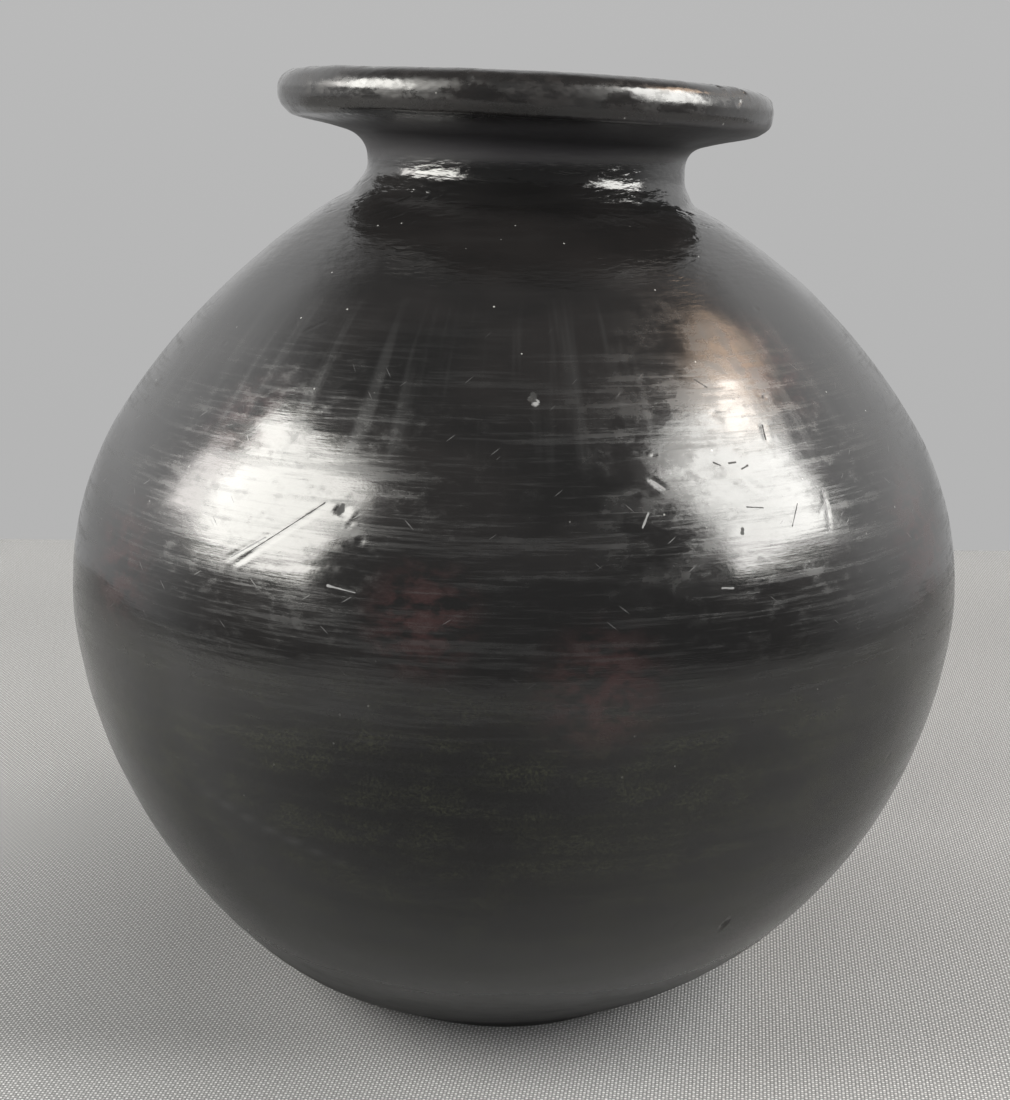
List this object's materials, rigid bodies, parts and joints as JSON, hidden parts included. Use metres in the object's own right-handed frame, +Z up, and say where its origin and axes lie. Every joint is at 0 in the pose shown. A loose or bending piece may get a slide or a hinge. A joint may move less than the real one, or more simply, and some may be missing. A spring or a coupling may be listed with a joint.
{
  "type": "clay pot",
  "caption": "Round-bodied burnished black clay pot on a small flat base, with a short pinched neck and a wide, slightly leaning lip.",
  "frame": {"origin": "centre of the flat underside of the base, on the surface that the pot stands on", "axes": "+Z up along the axis of the body, +X towards the side to which neck and lip lean, -Y towards the viewer"},
  "size_m": [0.147, 0.147, 0.1541],
  "materials": {
    "burnished_clay": "black clay rubbed to a dark, metallic shine with a stone, with fine level strokes",
    "bare_clay": "smoke-blackened clay left matt, worn grey where it stands"
  },
  "bodies": {
    "root": {"base_disc": "bare_clay", "lower_bowl": "burnished_clay", "belly_coil": "burnished_clay", "shoulder_coil": "burnished_clay", "closing_coil": "burnished_clay", "neck_collar": "burnished_clay", "rim_coil": "burnished_clay"}
  },
  "joints": []
}
